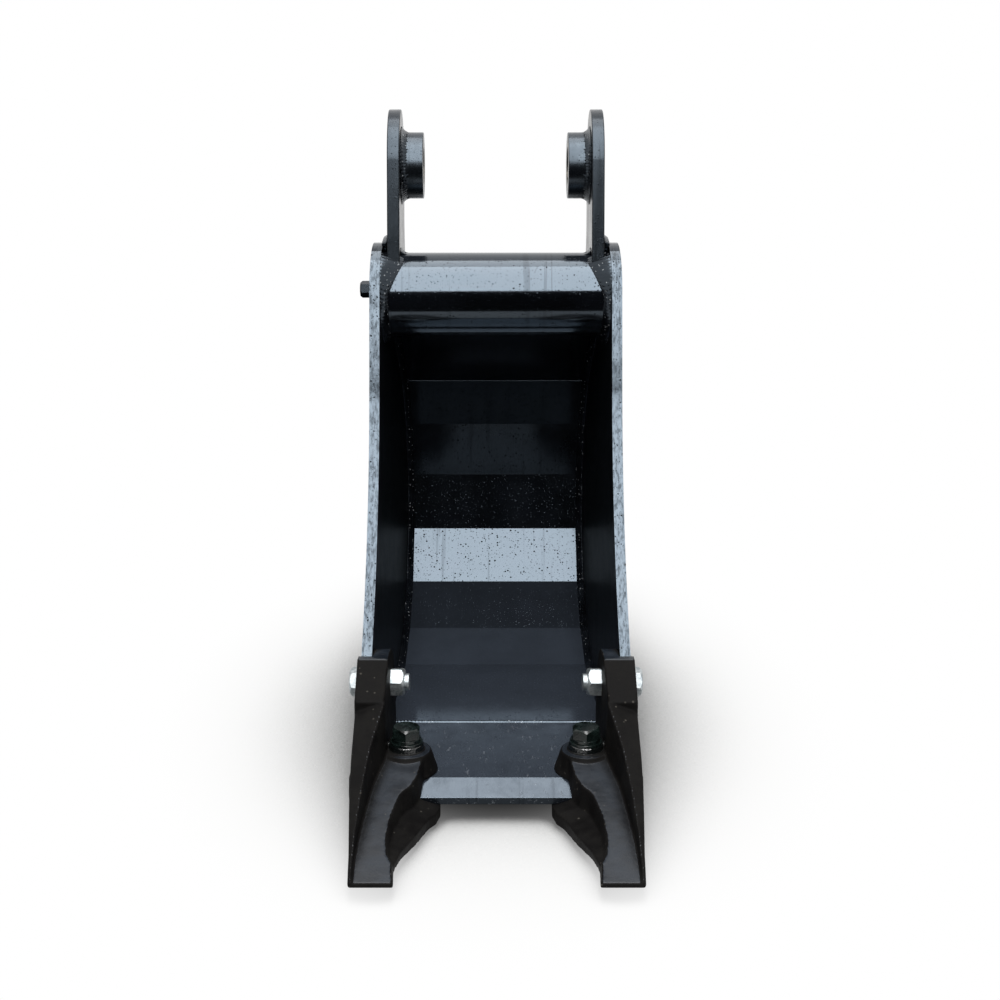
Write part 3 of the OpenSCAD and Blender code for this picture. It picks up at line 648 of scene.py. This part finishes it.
paint = enamel("black_machine_enamel", **CLEAN, gloss=0.08, haze=0.13, nibs=0.6)
ear_paint = enamel("thin_sprayed_enamel", **CLEAN, gloss=0.18, haze=0.28, nibs=0.4, under=0.0, level=0.6)
boss_paint = enamel("dry_sprayed_enamel", **CLEAN, gloss=0.24, haze=0.36, nibs=0.4)
plate_paint = enamel("soil_rubbed_enamel", **CLEAN, gloss=0.08, haze=0.13, nibs=0.6, of_plate=True)
inside = enamel("dusted_black_enamel", **DUSTY, gloss=0.08, haze=0.14, nibs=1.0, under=0.12)
lip_paint = enamel(
    "rubbed_black_enamel", **DUSTY, gloss=0.14, haze=0.3, nibs=0.1, under=0.0, scratched=True
)
casting = cast_steel()
zinc = zinc_steel()
oxide = black_steel()
bush_steel = hardened_steel()
weld = weld_bead()
wear = wear_steel()


# Welds and castings


def ripple(along, across):
    """Height of 0 to 1 of a weld's ripples: scallops one pitch long whose middles lag behind their edges,
    with the slow unevenness of a hand-laid bead, which is two sines in their pitch and one in their
    height."""
    wander = 0.9 * np.sin(along / 13.7) + 0.6 * np.sin(along / 5.9 + 1.3)
    phase = (along + wander - RIPPLE_LAG * np.sin(math.pi * across)) / RIPPLE_PITCH
    scallop = np.abs(np.sin(math.pi * phase)) ** 0.6
    return scallop * (0.8 + 0.2 * np.sin(along / 21.0 + 0.4))


def bead_size(along, across, share):
    """Size of a bead of which the ripples take a share: the rest, and the share times their height."""
    return 1 - share + share * ripple(along, across)


def resampled(corners):
    """Points one bead step apart along a chain of corners, with their tangents, eased by a moving
    average, and their distances."""
    corners = np.asarray(corners, dtype=float)
    lengths = np.concatenate([[0], np.cumsum(np.hypot(*np.diff(corners, axis=0).T))])
    along = np.arange(0, lengths[-1], BEAD_STEP)
    points = np.stack([np.interp(along, lengths, corners[:, i]) for i in range(2)], axis=1)
    width = max(int(BEAD_EASE / BEAD_STEP), 1)
    tangents = np.gradient(points, axis=0)
    padded = np.pad(tangents, ((width, width), (0, 0)), mode="edge")
    window = np.ones(2 * width + 1) / (2 * width + 1)
    tangents = np.stack([np.convolve(padded[:, i], window, mode="valid") for i in range(2)], axis=1)
    return points, tangents / np.hypot(*tangents.T)[:, None], along


def bead(name, x, back, up, flipped):
    """A weld bead as a closed mesh from its cross-sections, each a loop of points in the side view at x:
    sides between neighbouring sections and a cap at each end, smooth but for the toes."""
    sections = standing(np.stack([x, back, up], axis=-1))
    index = np.arange(x.size).reshape(x.shape)
    ahead = np.roll(index, -1, axis=1)
    sides = np.stack([index[:-1], index[1:], ahead[1:], ahead[:-1]], axis=-1).reshape(-1, 4)
    order = -1 if flipped else 1
    faces = [*sides[:, ::order].tolist(), index[0, ::order].tolist(), index[-1, ::-order].tolist()]
    piece = mesh_object(name, sections, faces)
    piece.data.shade_smooth()
    piece.data.set_sharp_from_angle(angle=TOE_ANGLE)
    return dressed(piece, weld, "weld_bead")


def fillet(rows):
    """Shares of 0 to 1 of a fillet's two legs along its section, from one toe to the other and back to
    the root, for each of so many rows, with the place from toe to toe: the cosine and the sine of a
    quarter turn, both raised to a power."""
    share = np.append(np.linspace(0, 1, FILLET_POINTS), 1.0)
    lift = np.cos(share * math.pi / 2) ** FILLET_POWER
    width = np.sin(share * math.pi / 2) ** FILLET_POWER
    lift[-1] = width[-1] = 0
    return np.tile(lift, (rows, 1)), np.tile(width, (rows, 1)), share


def seam_weld(name, corners, leg, out, sign):
    """Fillet between a sheet and the right or left side plate, along corners in the side view: its leg on
    the sheet goes across and its leg on the plate square to the sheet. It is rippled all along, and near
    its ends its size goes with the root of the distance from them."""
    points, tangents, along = resampled(corners)
    square = np.stack([-tangents[:, 1], tangents[:, 0]], axis=1) * out
    lift, width, share = fillet(len(along))
    taper = np.clip(np.minimum(along, along[-1] - along) / BEAD_EASE, BEAD_END, 1) ** 0.5
    size = leg * taper[:, None] * bead_size(along[:, None], share[None, :], RIPPLE_SHARE)
    back = points[:, 0, None] + square[:, 0, None] * lift * size
    up = points[:, 1, None] + square[:, 1, None] * lift * size
    x = (plate_face(back, up) - width * size) * sign
    return bead(name, x, back, up, sign * out < 0)


def tube_weld(name, sign):
    """Weld round the cross tube at a side plate: as wide as the gap to the ear's inner face in front of
    its foot, narrowing to a plain fillet at the tube's front and on round to the top plate."""
    angle = np.radians(np.arange(WELD_FROM, WELD_TO, WELD_STEP))
    along = (angle - angle[0]) * TUBE_R
    lift, width, share = fillet(len(angle))
    narrow = np.clip((angle - math.radians(WELD_FOOT)) / math.radians(WELD_NARROWS), 0, 1)
    wide = (WELD_WIDE + (WELD_LEG - WELD_WIDE) * narrow)[:, None]
    size = bead_size(along[:, None], share[None, :], RIPPLE_SHARE)
    reach_out = TUBE_R + WELD_LEG * size * lift
    back = TUBE[0] + reach_out * np.cos(angle)[:, None]
    up = TUBE[1] + reach_out * np.sin(angle)[:, None]
    x = (plate_face(back, up) - wide * size * width) * sign
    return bead(name, x, back, up, sign > 0)


def lip_weld(name):
    """Low bead across the floor where the wrapper meets the cutting edge: a flattened half sine high over
    its width, rippled, closed by its flat underside."""
    half = plate_face(LIP_L, 0)
    along = np.arange(-half, half, BEAD_STEP)
    share = np.linspace(0, 1, LIP_SEAM_POINTS)
    hump = LIP_SEAM_HIGH * np.sin(math.pi * share) ** 0.8
    height = hump * bead_size(along[:, None], share[None, :], RIPPLE_SHARE_HIGH)
    wide = LIP_SEAM_WIDE * bead_size(along[:, None], 0.5, RIPPLE_SHARE_WIDE)
    back = LIP_L + (share - 0.5) * wide
    return bead(name, np.broadcast_to(along[:, None], height.shape), back, height, False)


def rippled(source, centres, radius):
    """A weld solid with ripples along it: the distance along is the angle about the nearest centre times
    a radius, and the surface moves along its normals."""
    piece = eased_copy(source + "_rippled", source, WELD_CELL, 2)
    mesh = piece.data
    points = np.empty(len(mesh.vertices) * 3)
    normals = np.empty(len(mesh.vertices) * 3)
    mesh.vertices.foreach_get("co", points)
    mesh.vertex_normals.foreach_get("vector", normals)
    points, normals = points.reshape(-1, 3), normals.reshape(-1, 3)
    place = side_view(points)
    offsets = place[:, None, :] - np.asarray(centres)[None, :, :]
    nearest = np.argmin(np.hypot(offsets[..., 0], offsets[..., 1]), axis=1)
    chosen = offsets[np.arange(len(place)), nearest]
    along = np.arctan2(chosen[:, 1], chosen[:, 0]) * radius
    away = np.clip((np.hypot(*chosen.T) - radius) / RIPPLE_BOW, 0, 1)
    height = RIPPLE_HIGH * (ripple(along, away) - RIPPLE_REST) * MM
    mesh.vertices.foreach_set("co", (points + normals * height[:, None]).ravel())
    mesh.update()
    return dressed(piece, weld, "weld_bead", source)


def cast_tooth(side):
    """A tooth with the soft edges of a casting: the solid redrawn on a fine grid, then eased all over."""
    piece = eased_copy(f"tooth_casting_{side}", f"tooth_{side}", CASTING_CELL, 3)
    return dressed(piece, casting, "cast_steel", f"tooth_{side}")


# Pieces

bores = {mount["name"]: mount["pos_m"] for mount in frame["record"]["mounts"] if mount["kind"] == "bore"}
pin_centres = [side_view(np.array(bores[f"{pin}_bore"], dtype=float)) for pin in ("dipper", "link")]
top_end = float(reach @ np.array([math.cos(turn), math.sin(turn)]))
inner_chain = [(PAD_BACK, 0), *(fold(i, 0) for i in range(BENDS)), on_top(top_end - TUBE_R)]
rim_chain = [(LIP_L, -WRAPPER_T), *(fold(i, WRAPPER_T) for i in range(BENDS))]

for side, sign in (("left", -1), ("right", 1)):
    rounded(f"side_plate_{side}", plate_paint, "gloss_paint", edge=1.2)
    rounded(f"ear_{side}", ear_paint, "gloss_paint", edge=1.2)
    rounded(f"heel_strip_{side}", wear, "wear_steel")
    for pin in ("dipper", "link"):
        rounded(f"{pin}_boss_{side}", boss_paint, "gloss_paint")
        rounded(f"{pin}_bush_{side}", bush_steel, "hardened_steel", edge=0.6)
    for fastener in ("lip_bolt", "lip_nut", "lip_washer", "lip_spring_washer"):
        rounded(f"{fastener}_{side}", oxide, "black_steel", edge=0.5)
    for fastener in ("side_bolt", "side_nut", "side_washer"):
        rounded(f"{fastener}_{side}", zinc, "zinc_steel", edge=0.5)
    rippled(f"boss_weld_{side}", pin_centres, BOSS_WELD_R)
    rippled(f"ear_weld_{side}", [TUBE], EAR_WELD_R)
    seam_weld(f"inner_seam_{side}", inner_chain, SEAM_LEG, 1, sign)
    seam_weld(f"rim_seam_{side}", rim_chain, RIM_LEG, -1, sign)
    tube_weld(f"tube_seam_{side}", sign)
    cast_tooth(side)
rounded("wrapper", inside, "interior_paint", edge=0.8, segments=2, least=10)
rounded("cutting_edge", lip_paint, "interior_paint", edge=0.8, least=10)
rounded("top_plate", paint, "gloss_paint", edge=0.6)
rounded("cross_tube", paint, "gloss_paint", edge=0.6)
rounded("tube_plug", ear_paint, "black_steel", edge=0.5)
lip_weld("lip_seam")


# Stage, light and camera


def sheet(name, corners, finish):
    """A flat piece of the stage."""
    piece = mesh_object(name, corners, [[0, 1, 2, 3]])
    piece.data.materials.append(finish)


def studio():
    """A pale floor under a white sky, and a black cloth that lies and stands ahead of the picture's lower
    edge, behind and below the lens. The sky lights things less than it shows."""
    floor_z = cad_box[0][2]
    square = [(-1, -1), (1, -1), (1, 1), (-1, 1)]
    sheet("floor", [(x * FLOOR_HALF, y * FLOOR_HALF, floor_z) for x, y in square], studio_floor())
    cloth = black_cloth()
    lies = [(x * CLOTH_HALF, -CLOTH_TO if y < 0 else -CLOTH_FROM, floor_z + CLOTH_LIFT) for x, y in square]
    stands = [(x * CLOTH_HALF, -CLOTH_TO, floor_z + (y > 0) * CLOTH_HIGH) for x, y in square]
    sheet("cloth", lies, cloth)
    sheet("cloth_wall", stands, cloth)

    world = bpy.data.worlds.new("studio")
    bpy.context.scene.world = world
    node = emptied(world)
    fill = node("Background", [linear("#ffffff"), SKY_FILL])
    white = node("Background", [linear("#ffffff"), 1.0])
    node("OutputWorld", [node("MixShader", [seen_directly(node), fill, white])])


def softbox(name, low, high, radiance):
    """A rectangular softbox between two elevations in degrees above the front's horizon, facing the
    bucket's middle, with its power worked out from its radiance."""
    tall = 2 * LAMP_AWAY * math.tan(math.radians(high - low) / 2)
    light = bpy.data.lights.new(name, "AREA")
    light.shape = "RECTANGLE"
    light.size, light.size_y = LAMP_WIDE, tall
    light.energy = radiance * math.pi * LAMP_WIDE * tall
    holder = bpy.data.objects.new(name, light)
    bpy.context.scene.collection.objects.link(holder)
    rise = math.radians((low + high) / 2)
    place = LIT_MIDDLE + LAMP_AWAY * np.array([0.0, -math.cos(rise), math.sin(rise)])
    facing = LIT_MIDDLE - place
    dip = math.atan2(math.hypot(facing[0], facing[1]), -facing[2])
    holder.location = place
    holder.rotation_euler = (dip, 0, math.atan2(-facing[0], facing[1]))


def camera():
    """The camera ahead of the bucket, upright and dipped towards its middle."""
    lens = bpy.data.cameras.new("camera")
    lens.sensor_width = SENSOR_MM
    lens.lens = SENSOR_MM * FOCAL_PX / PHOTO_PX
    lens.shift_x = CAMERA_SHIFT
    lens.clip_end = CLIP_END
    holder = bpy.data.objects.new("camera", lens)
    bpy.context.scene.collection.objects.link(holder)
    turned = Matrix.Rotation(math.pi / 2 - CAMERA_DIP, 4, "X")
    holder.matrix_world = Matrix.Translation(CAMERA_PLACE) @ turned
    bpy.context.scene.camera = holder


studio()
for name, (low, high, radiance) in SOFTBOXES.items():
    softbox(name, low, high, radiance)
camera()
bpy.context.scene.view_settings.view_transform = "Standard"
